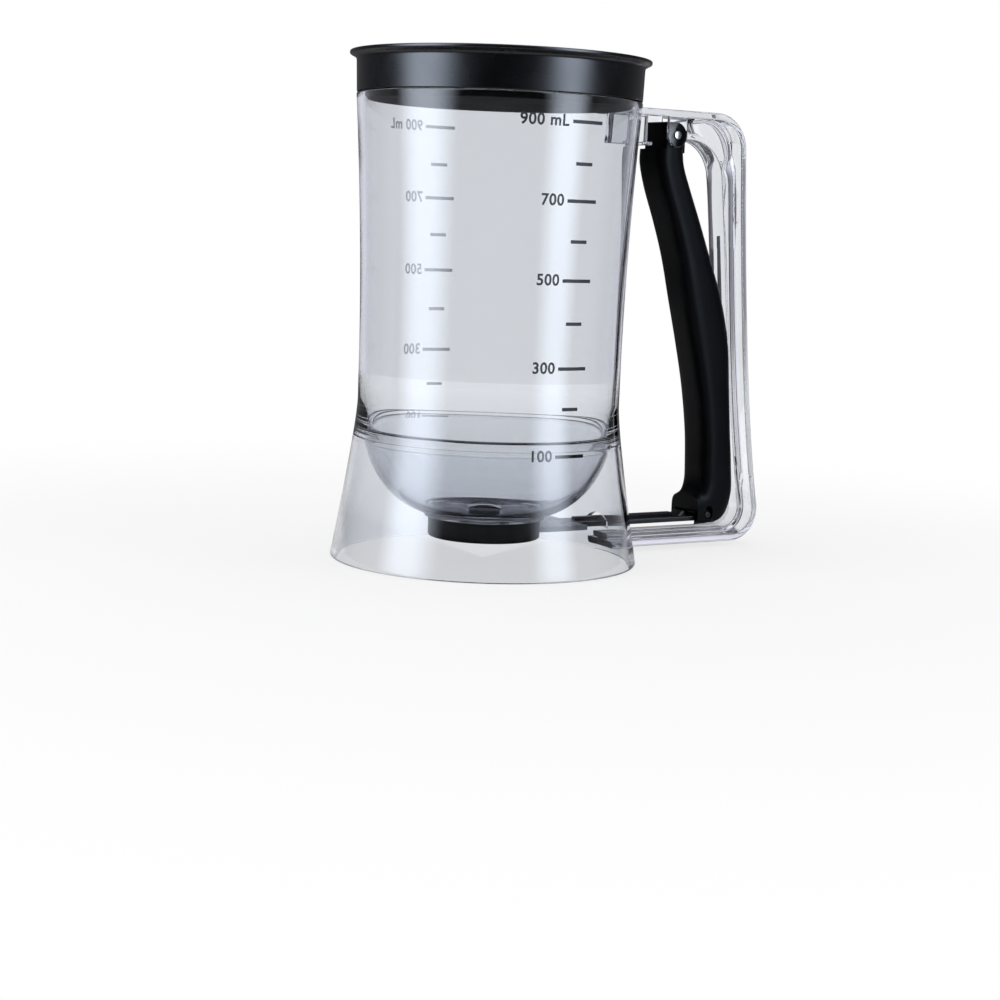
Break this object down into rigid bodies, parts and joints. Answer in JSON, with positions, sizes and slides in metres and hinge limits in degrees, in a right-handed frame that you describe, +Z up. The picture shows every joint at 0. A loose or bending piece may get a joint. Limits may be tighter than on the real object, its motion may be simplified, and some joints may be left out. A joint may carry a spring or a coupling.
{
  "type": "pancake batter dispenser",
  "caption": "Clear batter cup on a flared skirt, with a hopper bottom, lift-off plug lid and a D-handle whose squeeze lever pulls a flat gate off the outlet.",
  "frame": {"origin": "middle of the whole object's footprint, on the surface it stands on; the cup's axis stands at x = -32.6 mm", "axes": "+Z up along the cup's axis, +X from the cup towards the handle, +Y to the left of the handle seen from the cup"},
  "size_m": [0.1772, 0.112, 0.1804],
  "materials": {
    "clear_plastic": "clear, polished",
    "black_plastic": "satin",
    "lever_plastic": "satin",
    "pale_plastic": "smooth",
    "seal_silicone": "matte",
    "pin_steel": "ground",
    "spring_steel": "drawn wire"
  },
  "bodies": {
    "dispenser": {"cup_wall": "clear_plastic", "skirt": "clear_plastic", "hopper_bowl": "clear_plastic", "handle_top_arm": "clear_plastic", "handle_grip": "clear_plastic", "handle_bottom_arm": "clear_plastic", "valve_cap": "black_plastic", "gate_seal": "seal_silicone", "pivot_pin": "pin_steel", "return_spring": "spring_steel"},
    "lever": {"lever": "lever_plastic"},
    "slider": {"slide_bar": "black_plastic", "gate_plate": "pale_plastic"},
    "lid": {"lid": "black_plastic"}
  },
  "joints": [
    {"name": "lever_release", "type": "hinge", "parent": "dispenser", "child": "lever", "pos_m": [0.0409, 0, 0.1567], "axis": [0, 1, 0], "range_deg": [0, 6.35], "stiffness_Nm_per_rad": 1.2, "springref_deg": 14.32},
    {"name": "gate_close", "type": "slide", "parent": "dispenser", "child": "slider", "axis": [-1, 0, 0], "range_m": [0, 0.0162]},
    {"name": "lid_lift", "type": "slide", "parent": "dispenser", "child": "lid", "axis": [0, 0, 1], "range_m": [0, 0.03]}
  ],
  "couplings": [
    {"joint": "gate_close", "follows": "lever_release", "m_per_rad": 0.1451}
  ]
}
